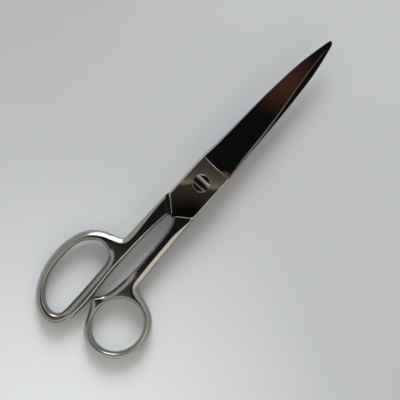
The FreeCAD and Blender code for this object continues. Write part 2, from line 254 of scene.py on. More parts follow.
def bow_faces(edge, gap):
    """Ceiling of the ring and bow: a broad face from edge, a crest, and a narrow face from gap."""
    near = np.clip(edge, 0, OUTER_SLOPE / (2 * OUTER_CROWN))
    broad = OUTER_FOOT + OUTER_SLOPE * near - OUTER_CROWN * near ** 2
    faces = soft_min(broad, INNER_FOOT + INNER_SLOPE * gap, CREST)
    return soft_min(faces, np.full_like(edge, BOW_CAP), BOW_CREASE)


def thumb_facet(x, y, edge, gap):
    """Ceiling of the thumb half's handle: a shank with a flat top and a sloped outer strip, then the ring."""
    on_shank = smooth(-66.0, -56.0, x)
    horn = np.exp(-((x - HORN[0]) ** 2 + (y - HORN[1]) ** 2) / HORN_SPREAD)
    outer_wide = 1.0 + 1.4 * smooth(-17.0, -32.0, x)
    outer = y < along([(-80.0, -8.0), (-50.0, -8.0), (-15.0, -5.5)], x)
    slope = HANDLE_CAP - STRIP_SLOPE * (outer_wide - edge)
    slope = np.where(outer, slope, HANDLE_CAP + 1.0)
    bow = bow_faces(edge, gap) * (1 - horn) + HORN_TOP * horn
    return bow * (1 - on_shank) + on_shank * soft_min(np.full_like(x, HANDLE_CAP), slope, STRIP_CREASE)


def finger_facet(x, y, edge, gap):
    """The same for the finger half, with both edges sloped and the bow's straight side turned inwards."""
    on_shank = smooth(-62.0, -52.0, x) * smooth(-17.0, -12.0, y)
    outer_wide = 1.3 + 1.3 * smooth(-22.0, -46.0, x)
    inner_wide = 0.7 + 0.5 * smooth(-24.0, -44.0, x)
    outer = y < along([(-60.0, -6.5), (-40.0, -6.3), (-15.0, -5.0)], x)
    slope = HANDLE_CAP - STRIP_SLOPE * (np.where(outer, outer_wide, inner_wide) - edge)
    straight = smooth(-12.0, -8.5, y) * smooth(-102.0, -95.0, x)
    bow = bow_faces(edge, gap) * (1 - straight) + bow_faces(gap, edge) * straight
    return bow * (1 - on_shank) + on_shank * soft_min(np.full_like(x, HANDLE_CAP), slope, STRIP_CREASE)


def ellipse(x, y, long, wide, count=300):
    turn = np.linspace(0, 2 * math.pi, count, endpoint=False)
    return np.stack([x + long * np.cos(turn), y + wide * np.sin(turn)], axis=1)


def surface_net(handle, step):
    """Quads over the handle's surface: one point in each grid cell that the surface crosses."""
    low, high = handle.low, handle.high
    xs = np.arange(low[0], high[0] + step, step)
    ys = np.arange(low[1], high[1] + step, step)
    zs = (np.arange(-12, 13) + NET_SHIFT) * step
    while zs[-1] < HANDLE_CAP + 2 * step:
        zs = np.append(zs, zs[-1] + step)
    while zs[0] > -HANDLE_CAP - 2 * step:
        zs = np.insert(zs, 0, zs[0] - step)
    gx, gy = np.meshgrid(xs, ys, indexing="ij")
    plan = handle.height2(np.stack([gx.ravel(), gy.ravel()], axis=1)).reshape(gx.shape)
    f = zs[None, None, :] ** 2 - plan[:, :, None]
    grid = [xs, ys, zs]
    cells = tuple(n - 1 for n in f.shape)
    total, count = np.zeros(cells + (3,)), np.zeros(cells)
    for axis in range(3):
        others = [a for a in range(3) if a != axis]
        first = np.take(f, range(f.shape[axis] - 1), axis)
        second = np.take(f, range(1, f.shape[axis]), axis)
        cross = (first < 0) != (second < 0)
        share = np.where(cross, first / np.where(first == second, 1, first - second), 0)
        place = np.stack(np.meshgrid(*[
            grid[a][:-1] if a == axis else grid[a] for a in range(3)], indexing="ij"), axis=-1)
        place[..., axis] += share * step
        for i in (0, 1):
            for j in (0, 1):
                cut = [slice(None)] * 3
                cut[others[0]] = slice(i, i + cells[others[0]])
                cut[others[1]] = slice(j, j + cells[others[1]])
                cut = tuple(cut)
                total += place[cut] * cross[cut][..., None]
                count += cross[cut]
    used = count > 0
    number = -np.ones(cells, int)
    number[used] = np.arange(used.sum())
    points = total[used] / count[used][:, None]
    quads = []
    for axis in range(3):
        b, c = (axis + 1) % 3, (axis + 2) % 3
        first = np.take(f, range(f.shape[axis] - 1), axis)
        second = np.take(f, range(1, f.shape[axis]), axis)
        inner = [slice(1, -1)] * 3
        inner[axis] = slice(None)
        cross = ((first < 0) != (second < 0))[tuple(inner)]
        outward = (first < 0)[tuple(inner)][cross]
        where = np.argwhere(cross)
        where[:, b] += 1
        where[:, c] += 1
        corners = []
        for db, dc in ((1, 1), (0, 1), (0, 0), (1, 0)):
            at = where.copy()
            at[:, b] -= db
            at[:, c] -= dc
            corners.append(number[at[:, 0], at[:, 1], at[:, 2]])
        face = np.stack(corners, axis=1)
        face[~outward] = face[~outward][:, ::-1]
        quads.append(face)
    return points, np.vstack(quads)


def settle(handle, points, quads, rounds=3):
    """Evens out the net and puts every point back on the exact surface."""
    a = np.concatenate([quads[:, i] for i in range(4)])
    b = np.concatenate([quads[:, (i + 1) % 4] for i in range(4)])
    for turn in range(rounds + 1):
        for _ in range(3):
            value, slope = handle.value(points), handle.slope(points)
            move = slope * (value / np.maximum((slope ** 2).sum(1), 1e-6))[:, None]
            size = np.linalg.norm(move, axis=1, keepdims=True)
            points = points - move * np.minimum(1, LONGEST_MOVE / np.maximum(size, 1e-9))
        if turn < rounds:
            total, count = np.zeros_like(points), np.zeros(len(points))
            np.add.at(total, a, points[b])
            np.add.at(total, b, points[a])
            np.add.at(count, a, 1)
            np.add.at(count, b, 1)
            points = points * 0.5 + 0.5 * total / count[:, None]
    return points


# ---------------------------------------------------------------- objects


def new_object(name, points, faces):
    mesh = bpy.data.meshes.new(name)
    mesh.from_pydata([tuple(p) for p in np.asarray(points) * MM], [], [tuple(f) for f in faces])
    mesh.validate()
    mesh.update()
    obj = bpy.data.objects.new(name, mesh)
    bpy.context.scene.collection.objects.link(obj)
    return obj


def apply_modifiers(obj):
    """Turns the object's modifiers into its mesh."""
    graph = bpy.context.evaluated_depsgraph_get()
    made = bpy.data.meshes.new_from_object(obj.evaluated_get(graph))
    obj.modifiers.clear()
    obj.data = made


def carve(obj, cutter):
    """Takes the cutter's volume away from obj and removes the cutter."""
    cut = obj.modifiers.new("cut", "BOOLEAN")
    cut.operation, cut.solver, cut.object = "DIFFERENCE", "EXACT", cutter
    bpy.context.view_layer.update()
    apply_modifiers(obj)
    bpy.data.objects.remove(cutter)


def prism(name, outline, low, high):
    """A straight-sided solid over a polygon that runs anticlockwise."""
    n = len(outline)
    points = [(x, y, low) for x, y in outline] + [(x, y, high) for x, y in outline]
    faces = [tuple(reversed(range(n))), tuple(range(n, 2 * n))]
    faces += [(i, (i + 1) % n, (i + 1) % n + n, i + n) for i in range(n)]
    return new_object(name, points, faces)


CUT_FACE = 0.8        # a face whose normal agrees less than this with the surface's slope was made by a cut


def exact_normals(obj, handle):
    """Shades the handle with the surface's own slope, and cut faces flat."""
    mesh = obj.data
    points = np.array([v.co for v in mesh.vertices]) / MM
    slope = handle.slope(points)
    slope /= np.maximum(np.linalg.norm(slope, axis=1, keepdims=True), 1e-9)
    normals = np.zeros((len(mesh.loops), 3))
    for poly in mesh.polygons:
        flat = np.array(poly.normal)
        for loop in poly.loop_indices:
            own = slope[mesh.loops[loop].vertex_index]
            normals[loop] = own if own @ flat > CUT_FACE else flat
    mesh.shade_smooth()
    mesh.normals_split_custom_set([tuple(n) for n in normals])


SEAT_REACH = 9.0                       # how far the seat's line runs past the joint's corners
SEAT_FRONT, SEAT_BELOW = 20.0, -8.0    # the seat cutter's front and lower face, both clear of the handle
SEAT_SINK = 0.03                       # the cut handle's inner face lies this far inside the joint's


def seat_line():
    """Two points far out on the line where a handle's full thickness starts, on its inner side."""
    corner, vee = np.array([CORNER[0], -CORNER[1]]), np.array([VEE[0], -VEE[1]])
    run = (corner - vee) / np.linalg.norm(corner - vee)
    aside = np.array([run[1], -run[0]]) * SEAT_GAP
    return corner + aside + run * SEAT_REACH, vee + aside - run * SEAT_REACH


def build_handle(name, outside, hole, facet, marks):
    handle = Handle(spline(outside, closed=True), hole, facet, marks)
    points, quads = surface_net(handle, NET_STEP)
    points = settle(handle, points, quads)
    obj = new_object(name, points, quads)
    low, high = seat_line()
    outline = [tuple(low), (SEAT_FRONT, low[1]), (SEAT_FRONT, high[1]), tuple(high)]
    carve(obj, prism("seat_cutter", outline, SEAT_BELOW, SEAM + SEAT_SINK))
    exact_normals(obj, handle)
    return obj


# ---------------------------------------------------------------- blade and flat joint

SPINE = [(-15.0, 9.1), (0.0, 9.35), (11.0, 9.25), (20.0, 8.65), (40.0, 7.8), (60.0, 6.75), (80.0, 5.05),
         (86.0, 4.15), (95.0, 2.45), (101.0, 0.95)]
EDGE = [(-17.2, -9.25), (0.0, -9.1), (11.5, -9.0), (20.0, -8.35), (30.0, -7.75), (45.0, -6.65), (55.0, -5.5),
        (70.0, -3.5), (80.0, -2.25), (90.0, -1.25), (101.0, -0.5)]
BEVEL_WIDE, BEVEL_LOSS, BEVEL_FOOT = 1.05, 0.6, 0.14   # edge bevel: width, its loss by the tip, and foot
BEVEL_AT_HEEL, BEVEL_GROWN = 0.45, 28.0        # share of that width at the heel, and x where it is whole
CHAMFER_TIP, CHAMFER_MORE = 0.25, 0.8          # the back's chamfer at the tip, and what the heel has more
UNDER_EDGE, UNDER_BACK = 0.05, 0.12            # broken corners of the inner face, at the edge and the back


def nose(x, y):
    """Draws an outline's y in towards the point's middle over the last bit before the tip."""
    k = np.clip((x - TIP + NOSE) / NOSE, 0, 0.995)
    return NOSE_Y + (y - NOSE_Y) * np.sqrt(1 - k * k)


def spine_y(x):
    free = VEE[1] + (CORNER[1] - VEE[1]) * (x - VEE[0]) / (CORNER[0] - VEE[0])
    return np.where(x < CORNER[0], free, nose(x, along(SPINE, x)))


def edge_y(x):
    free = VEE[1] + (SHOULDER[1] - VEE[1]) * (x - VEE[0]) / (SHOULDER[0] - VEE[0])
    return np.where(x < SHOULDER[0], free, nose(x, along(EDGE, x)))


def heel_shift(y):
    """How far the heel bows back from a straight line across the blade, in millimetres."""
    return 0.9 * ((y - 0.5) / 9.0) ** 2 - 0.55


def joint_profile(x, span):
    """The joint across X: edge and back heights, bevel width and foot, chamfer width and drop, hollow."""
    narrowed = JOINT_BEVEL - 0.9 * float(smooth(SHOULDER[0], SHOULDER[0] + 1.0, x))
    bevel_wide = min(JOINT_BEVEL, span * 0.2, narrowed)
    chamfer_wide, chamfer_drop = min(JOINT_CHAMFER, span * 0.2), JOINT_CHAMFER_DROP
    if x > CORNER[0]:
        grown = float(smooth(CORNER[0], CORNER[0] + 4.0, x))
        chamfer_wide, chamfer_drop = JOINT_CHAMFER + 0.15 * grown, JOINT_CHAMFER_DROP + 0.35 * grown
    return PLATE_TOP, PLATE_TOP, bevel_wide, PLATE_TOP - JOINT_BEVEL_DROP, chamfer_wide, chamfer_drop, 0.0


def blade_profile(x, span):
    """The same for the blade, which rises to the joint's outer face over the fillet at the heel."""
    run = (x - HEEL) / (TIP - HEEL)
    high_back = BACK_HIGH - BACK_FALL * run ** 1.1
    high_edge = high_back - FACE_SLOPE * (span - 1.5)
    share = BEVEL_AT_HEEL + (1 - BEVEL_AT_HEEL) * float(smooth(HEEL, BEVEL_GROWN, x))
    bevel_wide = (BEVEL_WIDE - BEVEL_LOSS * run) * share
    bevel_low = BEVEL_FOOT
    chamfer = CHAMFER_TIP + CHAMFER_MORE * (1 - float(smooth(20.0, 70.0, x)))
    hollow = FACE_HOLLOW * (1 - run)
    fillet = 1 - min(1.0, (x - HEEL) / FILLET)
    lift = 1 - math.sqrt(max(0.0, 1 - fillet ** 2))
    high_back += (PLATE_TOP - high_back) * lift
    high_edge += (PLATE_TOP - high_edge) * lift
    bevel_low += (PLATE_TOP - 0.35 - bevel_low) * lift
    bevel_wide += (0.3 - bevel_wide) * lift
    hollow *= 1 - lift
    near_tip = min(1.0, span / 4.0)
    bevel_wide *= near_tip
    chamfer *= near_tip
    return high_edge, high_back, bevel_wide, bevel_low, chamfer, chamfer, hollow


def blade_section(x):
    """The closed section of plate and blade across X, from the cutting edge round to it again."""
    ys, ye = float(spine_y(x)), float(edge_y(x))
    span = ys - ye
    profile = joint_profile if x < HEEL else blade_profile
    high_edge, high_back, bevel_wide, bevel_low, chamfer_wide, chamfer_drop, hollow = profile(x, span)
    low = SEAM
    points = [(ye, low + UNDER_EDGE), (ye, max(bevel_low, low + 0.07)), (ye + bevel_wide, high_edge)]
    inner, outer = ye + bevel_wide, ys - chamfer_wide
    for k in np.linspace(0, 1, 18)[1:-1]:
        z = high_edge + (high_back - high_edge) * k - hollow * 4 * k * (1 - k)
        points.append((inner + (outer - inner) * k, z))
    points += [(outer, high_back), (ys, high_back - chamfer_drop)]
    points += [(ys, low + 0.15), (ys - UNDER_BACK * min(1, span), low)]
    for k in np.linspace(0, 1, 10)[1:-1]:
        points.append((ys - UNDER_BACK + (ye + UNDER_EDGE - ys + UNDER_BACK) * k, low))
    points.append((ye + UNDER_EDGE, low))
    return points


BESIDE = 0.02                          # sections on either side of a sudden corner stand this far from it


def build_plate(name):
    """Blade and flat joint as one skin through sections across the blade."""
    joint = np.concatenate([VEE[0] + (CORNER[0] - VEE[0]) * np.linspace(0.004, 1, 18),
                            np.linspace(CORNER[0] + BESIDE, HEEL - BESIDE, 40)])
    joint = np.sort(np.append(joint, [SHOULDER[0] - BESIDE, SHOULDER[0] + BESIDE]))
    fillet, face, point = np.linspace(0, 0.0068, 8), np.linspace(0.008, 0.9, 90), np.linspace(0.91, 1.0, 22)
    blade = HEEL + (TIP - HEEL) * np.concatenate([fillet, face, point])
    xs = np.concatenate([joint, blade])
    points, rings = [], []
    for x in xs:
        section = blade_section(float(x))
        blend = float(smooth(CORNER[0], 2.0, x) * (1 - smooth(HEEL + 1.0, HEEL + 16.0, x)))
        rings.append(range(len(points), len(points) + len(section)))
        points += [(x + blend * heel_shift(y), y, z) for y, z in section]
    faces = []
    for one, two in zip(rings, rings[1:]):
        n = len(one)
        faces += [(one[i], two[i], two[(i + 1) % n], one[(i + 1) % n]) for i in range(n)]
    faces.append(tuple(rings[0]))
    faces.append(tuple(reversed(rings[-1])))
    return new_object(name, points, faces)


def turned(name, profile, count=96):
    """A solid of revolution about Z from (radius, z) points that run from the axis to the axis."""
    points, faces = [], []
    inner = profile[1:-1]
    for i in range(count):
        angle = 2 * math.pi * i / count
        points += [(r * math.cos(angle), r * math.sin(angle), z) for r, z in inner]
    n = len(inner)
    first, last = len(points), len(points) + 1
    points += [(0, 0, profile[0][1]), (0, 0, profile[-1][1])]
    for i in range(count):
        a, b = i * n, (i + 1) % count * n
        faces += [(a + k, b + k, b + k + 1, a + k + 1) for k in range(n - 1)]
        faces.append((first, b, a))
        faces.append((last, a + n - 1, b + n - 1))
    return new_object(name, points, faces)


def build_screw(name):
    """The pivot screw: thread, plain shank and a flat head with a wide driver slot, milled hollow."""
    low, high = (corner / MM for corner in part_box("pivot_screw"))
    head, top, end = high.x, high.z, low.z
    obj = turned(name, [
        (0, end), (THREAD - END_CHAMFER, end), (THREAD, end + END_CHAMFER), (THREAD, -SEAM), (SHANK, -SEAM),
        (SHANK, top - HEAD_HIGH), (head, top - HEAD_HIGH), (head, top - 0.22), (head - 0.05, top - 0.1),
        (head - 0.2, top), (0, top)])
    across = np.linspace(-SLOT_HALF, SLOT_HALF, 25)
    length = np.linspace(-head - 1, head + 1, 33)
    floor = [(x, y, top - SLOT_DEEP + x * x / (2 * SLOT_HOLLOW) + y * y / (2 * SLOT_SWEEP))
             for x in across for y in length]
    lid = [(x, y, top + 1.0) for x in across for y in length]
    n, size = len(length), len(floor)
    faces = []
    for i in range(len(across) - 1):
        for j in range(n - 1):
            a, b, c, d = i * n + j, (i + 1) * n + j, (i + 1) * n + j + 1, i * n + j + 1
            faces += [(d, c, b, a), (a + size, b + size, c + size, d + size)]
    border = [i * n for i in range(len(across))]
    border += [(len(across) - 1) * n + j for j in range(1, n)]
    border += [i * n + n - 1 for i in range(len(across) - 2, -1, -1)]
    border += [j for j in range(n - 2, 0, -1)]
    faces += [(a, b, b + size, a + size) for a, b in zip(border, border[1:] + border[:1])]
    carve(obj, new_object("slot_cutter", floor + lid, faces))
    edges = obj.modifiers.new("edges", "BEVEL")
    edges.width, edges.segments = 0.09 * MM, 2
    edges.limit_method, edges.angle_limit = "ANGLE", math.radians(35)
    return obj


def soften(obj, angle=28):
    """Smooth shading with sharp edges where faces meet at more than the angle."""
    obj.data.shade_smooth()
    obj.data.set_sharp_from_angle(angle=math.radians(angle))
    weight = obj.modifiers.new("weighted", "WEIGHTED_NORMAL")
    weight.keep_sharp = True
    weight.weight = 60


def turn_over(obj):
    """Gives the half its half turn about X, so that its outer face is down."""
    obj.data.transform(Matrix.Rotation(math.pi, 4, "X"))


# ---------------------------------------------------------------- build the two halves

thumb_handle = build_handle("thumb_handle", THUMB_OUTSIDE, ellipse(*THUMB_HOLE), thumb_facet, THUMB_MARKS)
finger_handle = build_handle("finger_handle", FINGER_OUTSIDE, spline(FINGER_HOLE, closed=True), finger_facet,
                             FINGER_MARKS)
thumb_blade = build_plate("thumb_blade")
finger_blade = build_plate("finger_blade")
bore = turned("bore_cutter", [
    (0, BORE_FLOOR), (HEAD_BORE, BORE_FLOOR), (HEAD_BORE, PLATE_TOP - BORE_EDGE),
    (HEAD_BORE + BORE_FLARE, PLATE_TOP + BORE_OVER), (0, PLATE_TOP + BORE_OVER)])
carve(thumb_blade, bore)
slotted_screw = build_screw("slotted_screw")
soften(slotted_screw, 20)
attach(slotted_screw, "finger_body")
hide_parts("pivot_screw")
soften(thumb_blade)
soften(finger_blade)
turn_over(finger_handle)
turn_over(finger_blade)
for piece in (thumb_handle, thumb_blade):
    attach(piece, "thumb_body")
    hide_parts("thumb_half")
for piece in (finger_handle, finger_blade):
    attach(piece, "finger_body")
    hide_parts("finger_half")

# ---------------------------------------------------------------- materials


MIX_UNDER, MIX_OVER, MIX_RESULT = 6, 7, 2      # the colour sockets of a Mix node
RUST_ROUGH = 0.42                              # roughness that full rust adds to the metal's own
GLOW_DIRECTION, GLOW_SPAN = (0.81, 0.58, 0), (-16.0, 12.0)   # direction and span of the joint's colour ramp: brown film, darker towards the vee, and a painted highlight band
SIDE_SHADE_HEIGHTS = (0.25, 0.80)                   # upward part of the normal where the painted side shade is full, and where it ends

# rust: middle, half length and width, turn and colour
HEEL_RUST = (12.3, -6.6, 2.3, 5.2, 8, (0.34, 0.14, 0.055))
# the gap patch is rust, darkened as painted shade of the gap between the halves
GAP_RUST_AND_SHADE = (-20.1, 5.1, 1.8, 8.5, -41, (0.16, 0.065, 0.035))


def set_stops(node, stops):
    """Gives a colour ramp node its (position, colour) stops."""
    elements = node.color_ramp.elements
    while len(elements) < len(stops):
        elements.new(0.5)
    for element, (place, colour) in zip(elements, stops):
        element.position, element.color = place, (*colour, 1)


class Nodes:
    """Small helper that adds shader nodes and links them."""

    def __init__(self, name):
        self.material = bpy.data.materials.new(name)
        self.material.use_nodes = True
        self.tree = self.material.node_tree
        self.tree.nodes.clear()
        self.out = self.add("ShaderNodeOutputMaterial")
        self.shader = self.add("ShaderNodeBsdfPrincipled")
        self.link(self.shader, "BSDF", self.out, "Surface")

    def add(self, kind, **values):
        node = self.tree.nodes.new(kind)
        for key, value in values.items():
            if key in node.inputs:
                node.inputs[key].default_value = value
            else:
                setattr(node, key, value)
        return node

    def link(self, a, output, b, name):
        self.tree.links.new(a.outputs[output], b.inputs[name])

    def place(self, scale=(1, 1, 1), rotation=(0, 0, 0)):
        """Object coordinates in millimetres, stretched and turned."""
        coord = self.add("ShaderNodeTexCoord")
        mapping = self.add("ShaderNodeMapping")
        mapping.inputs["Scale"].default_value = [v / MM for v in scale]
        mapping.inputs["Rotation"].default_value = rotation
        self.link(coord, "Object", mapping, "Vector")
        return mapping

    def noise(self, scale, detail=3.0, roughness=0.55, stretch=(1, 1, 1), rotation=(0, 0, 0)):
        noise = self.add("ShaderNodeTexNoise", Scale=scale, Detail=detail, Roughness=roughness)
        self.link(self.place(stretch, rotation), "Vector", noise, "Vector")
        return noise

    def spot(self, x, y, long, wide, turn=0.0):
        """1 in the middle of an ellipse seen along Z, falling softly to 0 at its edge, in millimetres."""
        coord = self.add("ShaderNodeTexCoord")
        mapping = self.add("ShaderNodeMapping", vector_type="TEXTURE")
        mapping.inputs["Location"].default_value = (x * MM, y * MM, 0)
        mapping.inputs["Rotation"].default_value = (0, 0, math.radians(turn))
        mapping.inputs["Scale"].default_value = (long * MM, wide * MM, 1)
        self.link(coord, "Object", mapping, "Vector")
        length = self.add("ShaderNodeVectorMath", operation="LENGTH")
        self.link(mapping, "Vector", length, "Vector")
        fall = self.rescaled(length, "Value", 0.0, 1.0, 1.0, 0.0)
        fall.interpolation_type = "SMOOTHSTEP"
        return fall

    def tinted(self, colour, tone, amount):
        """A colour socket with one plain tone mixed over it, by the amount in another socket."""
        mix = self.add("ShaderNodeMix", data_type="RGBA")
        self.tree.links.new(amount, mix.inputs["Factor"])
        self.tree.links.new(colour, mix.inputs[MIX_UNDER])
        mix.inputs[MIX_OVER].default_value = (*tone, 1)
        return mix.outputs[MIX_RESULT]

    def stained(self, colour, spots):
        """The colour with soft patches (x, y, long, wide, turn, colour, strength) mixed over it in turn."""
        for *place, tone, strength in spots:
            amount = self.calculated("MULTIPLY", self.spot(*place).outputs[0], value=strength)
            colour = self.tinted(colour, tone, amount.outputs[0])
        return colour

    def rusted(self, patches):
        """Rough rust in soft, uneven patches (x, y, long, wide, turn, colour) over the finished metal."""
        colour = self.shader.inputs["Base Color"].links[0].from_socket
        rough = self.shader.inputs["Roughness"].links[0].from_socket
        grain = self.noise(0.6, 3.0, 0.6)
        for *place, tone in patches:
            uneven = self.rescaled(grain, "Fac", 0.35, 0.6, 0.7, 1.3)
            amount = self.calculated("MULTIPLY", self.spot(*place).outputs[0], uneven.outputs[0])
            colour = self.tinted(colour, tone, amount.outputs[0])
            coarse = self.calculated("MULTIPLY", amount.outputs[0], value=RUST_ROUGH)
            rough = self.calculated("ADD", rough, coarse.outputs[0]).outputs[0]
        self.tree.links.new(colour, self.shader.inputs["Base Color"])
        self.tree.links.new(rough, self.shader.inputs["Roughness"])

    def distance(self, direction, low, high):
        """0 to 1 between two distances, in millimetres, measured along a direction."""
        coord = self.add("ShaderNodeTexCoord")
        dot = self.add("ShaderNodeVectorMath", operation="DOT_PRODUCT")
        self.link(coord, "Object", dot, "Vector")
        dot.inputs[1].default_value = direction
        return self.rescaled(dot, "Value", low * MM, high * MM, 0.0, 1.0)

    def shaded_sides(self):
        """Mask of the painted side shade: 0 where the surface faces up or down, 1 on upright sides."""
        coord = self.add("ShaderNodeTexCoord")
        parts = self.add("ShaderNodeSeparateXYZ")
        self.link(coord, "Normal", parts, "Vector")
        height = self.calculated("ABSOLUTE", parts.outputs["Z"])
        side = self.rescaled(height, "Value", *SIDE_SHADE_HEIGHTS, 1.0, 0.0)
        side.interpolation_type = "SMOOTHSTEP"
        return side

    def rescaled(self, source, output, low, high, to_low, to_high):
        node = self.add("ShaderNodeMapRange")
        for key, value in (("From Min", low), ("From Max", high), ("To Min", to_low), ("To Max", to_high)):
            node.inputs[key].default_value = value
        self.link(source, output, node, "Value")
        return node

    def ramp(self, source, output, stops):
        node = self.add("ShaderNodeValToRGB")
        set_stops(node, stops)
        self.link(source, output, node, "Fac")
        return node

    def calculated(self, operation, a, b=None, value=None):
        node = self.add("ShaderNodeMath", operation=operation)
        self.tree.links.new(a, node.inputs[0])
        if b is not None:
            self.tree.links.new(b, node.inputs[1])
        if value is not None:
            node.inputs[1].default_value = value
        return node


def polished_steel(name, tint=(0.56, 0.55, 0.535), rough=(0.05, 0.12), waves=0.015, satin=None, rust=(),
                   side_shade=None):
    """Polished steel: waves from polishing by hand, hairline scratches and thin smears.

    satin is (x where it starts, x where it is full, roughness added), rust is a list of patches,
    and flank is the colour of painted shade on upright sides.
    """
    n = Nodes(name)
    n.shader.inputs["Metallic"].default_value = 1.0
    smear = n.noise(0.05, 2.0, 0.5)
    dark = tuple(c * 0.9 for c in tint)
    colour = n.ramp(smear, "Fac", [(0.35, dark), (0.65, tint)]).outputs["Color"]
    # painted shade: upright sides take a darker colour
    if side_shade:
        colour = n.tinted(colour, side_shade, n.shaded_sides().outputs["Result"])
    n.tree.links.new(colour, n.shader.inputs["Base Color"])
    film = n.noise(0.22, 4.0, 0.6, stretch=(0.6, 1, 1), rotation=(0, 0, 0.3))
    film_rough = n.rescaled(film, "Fac", 0.35, 0.75, rough[0], rough[1])
    hair = n.noise(1.0, 2.0, 0.5, stretch=(0.25, 14, 14), rotation=(0, 0, 0.12))
    hair_line = n.rescaled(hair, "Fac", 0.64, 0.74, 0.0, 0.10)
    total = n.calculated("ADD", film_rough.outputs[0], hair_line.outputs[0])
    if satin:
        near, far, more = satin
        where = n.add("ShaderNodeSeparateXYZ")
        n.link(n.place(), "Vector", where, "Vector")
        extra = n.rescaled(where, "X", near, far, 0.0, more)
        total = n.calculated("ADD", total.outputs[0], extra.outputs[0])
    n.tree.links.new(total.outputs[0], n.shader.inputs["Roughness"])
    wave = n.noise(0.12, 1.0, 0.4)
    bump = n.add("ShaderNodeBump", Strength=waves, Distance=0.001)
    n.link(wave, "Fac", bump, "Height")
    scratch = n.add("ShaderNodeBump", Strength=0.02, Distance=0.0002)
    n.link(hair, "Fac", scratch, "Height")
    n.link(bump, "Normal", scratch, "Normal")
    n.link(scratch, "Normal", n.shader, "Normal")
    if rust:
        n.rusted(rust)
    return n.material


def brushed_steel(name, colour=(0.52, 0.51, 0.50), rough=(0.22, 0.42), lines=(0.6, 9, 9), bump_size=0.12):
    """Steel with fine tool marks that run along X, or as the lines are stretched."""
    n = Nodes(name)
    n.shader.inputs["Metallic"].default_value = 1.0
    stain = n.noise(0.12, 3.0, 0.55)
    dark = tuple(c * 0.85 for c in colour)
    tint = n.ramp(stain, "Fac", [(0.35, dark), (0.65, colour)])
    n.link(tint, "Color", n.shader, "Base Color")
    marks = n.noise(1.0, 3.0, 0.6, stretch=lines)
    rough_map = n.rescaled(marks, "Fac", 0.3, 0.7, rough[0], rough[1])
    n.link(rough_map, "Result", n.shader, "Roughness")
    bump = n.add("ShaderNodeBump", Strength=bump_size, Distance=0.0002)
    n.link(marks, "Fac", bump, "Height")
    n.link(bump, "Normal", n.shader, "Normal")
    return n.material


def joint_film_with_glow(name):
    """The flat joint: fine brushing under an oily brown film, darker towards the vee, with a painted
    highlight band across it.
    """
    n = Nodes(name)
    n.shader.inputs["Metallic"].default_value = 1.0
    across = n.distance(GLOW_DIRECTION, *GLOW_SPAN)
    drift = n.noise(0.10, 2.0, 0.5)
    shift = n.rescaled(drift, "Fac", 0.3, 0.7, -0.05, 0.05)
    place = n.calculated("ADD", across.outputs[0], shift.outputs[0])
    # brown film, darker towards the vee; the pale stops round 0.55 are a painted highlight band
    film = n.ramp(place, "Value", [
        (0.0, (0.13, 0.11, 0.095)), (0.30, (0.36, 0.30, 0.245)), (0.49, (0.45, 0.375, 0.30)),
        (0.55, (0.84, 0.73, 0.58)), (0.66, (0.66, 0.57, 0.46)), (0.85, (0.50, 0.44, 0.37)),
        (1.0, (0.52, 0.46, 0.39))])
    n.link(film, "Color", n.shader, "Base Color")
    satin = n.ramp(place, "Value", [
        (0.0, (0.15,) * 3), (0.28, (0.25,) * 3), (0.49, (0.28,) * 3), (0.55, (0.40,) * 3),
        (0.70, (0.33,) * 3), (1.0, (0.29,) * 3)])
    marks = n.noise(1.0, 3.0, 0.6, stretch=(0.35, 8, 8))
    uneven = n.rescaled(marks, "Fac", 0.3, 0.7, -0.03, 0.03)
    grey = n.add("ShaderNodeRGBToBW")
    n.link(satin, "Color", grey, "Color")
    rough = n.calculated("ADD", grey.outputs[0], uneven.outputs[0])
    n.link(rough, "Value", n.shader, "Roughness")
    bump = n.add("ShaderNodeBump", Strength=0.05, Distance=0.0002)
    n.link(marks, "Fac", bump, "Height")
    n.link(bump, "Normal", n.shader, "Normal")
    n.rusted([HEEL_RUST])
    return n.material


def give(obj, material):
    obj.data.materials.clear()
    obj.data.materials.append(material)


# the flank colours of the blade and handle steel are painted shade on upright sides
blade_steel = polished_steel("blade_steel", rough=(0.02, 0.04), waves=0.008, rust=[HEEL_RUST],
                             side_shade=(0.20, 0.185, 0.17))
joint_steel = joint_film_with_glow("joint_steel")
handle_steel = polished_steel("handle_steel", (0.52, 0.515, 0.50), (0.07, 0.14), 0.03, (-52.0, -70.0, 0.07),
                              [GAP_RUST_AND_SHADE], (0.20, 0.195, 0.185))
screw_steel = polished_steel("screw_steel", rough=(0.07, 0.16), waves=0.06)
# paler steel on the joint's bevels: a painted highlight along its edges
edge_highlight_steel = brushed_steel("edge_highlight_steel", (0.86, 0.84, 0.80), (0.20, 0.32), (0.5, 6, 6), 0.05)
plain_steel = brushed_steel("plain_steel", (0.46, 0.45, 0.44), (0.3, 0.5))
JOINT_FACES, BEVEL_FACES = 1, 2        # material slots of the joint's flat faces and of its bevels
UPRIGHT, LEVEL = 0.2, 0.985            # upward part of the normals between which a face is a bevel
for piece in (thumb_blade, finger_blade):
    give(piece, blade_steel)
    piece.data.materials.append(joint_steel)
    piece.data.materials.append(edge_highlight_steel)
    for face in piece.data.polygons:
        if face.center.x < HEEL * MM:
            face.material_index = BEVEL_FACES if UPRIGHT < abs(face.normal.z) < LEVEL else JOINT_FACES
for piece in (thumb_handle, finger_handle):
    give(piece, handle_steel)
give(slotted_screw, screw_steel)
for node in ("lock_washer", "pivot_nut"):
    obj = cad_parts[node]
    for place in obj.material_slots:
        place.material = plain_steel
    edge = obj.modifiers.new("edges", "BEVEL")
    edge.width, edge.segments, edge.limit_method = 0.12 * MM, 2, "ANGLE"

# ---------------------------------------------------------------- floor, light and camera


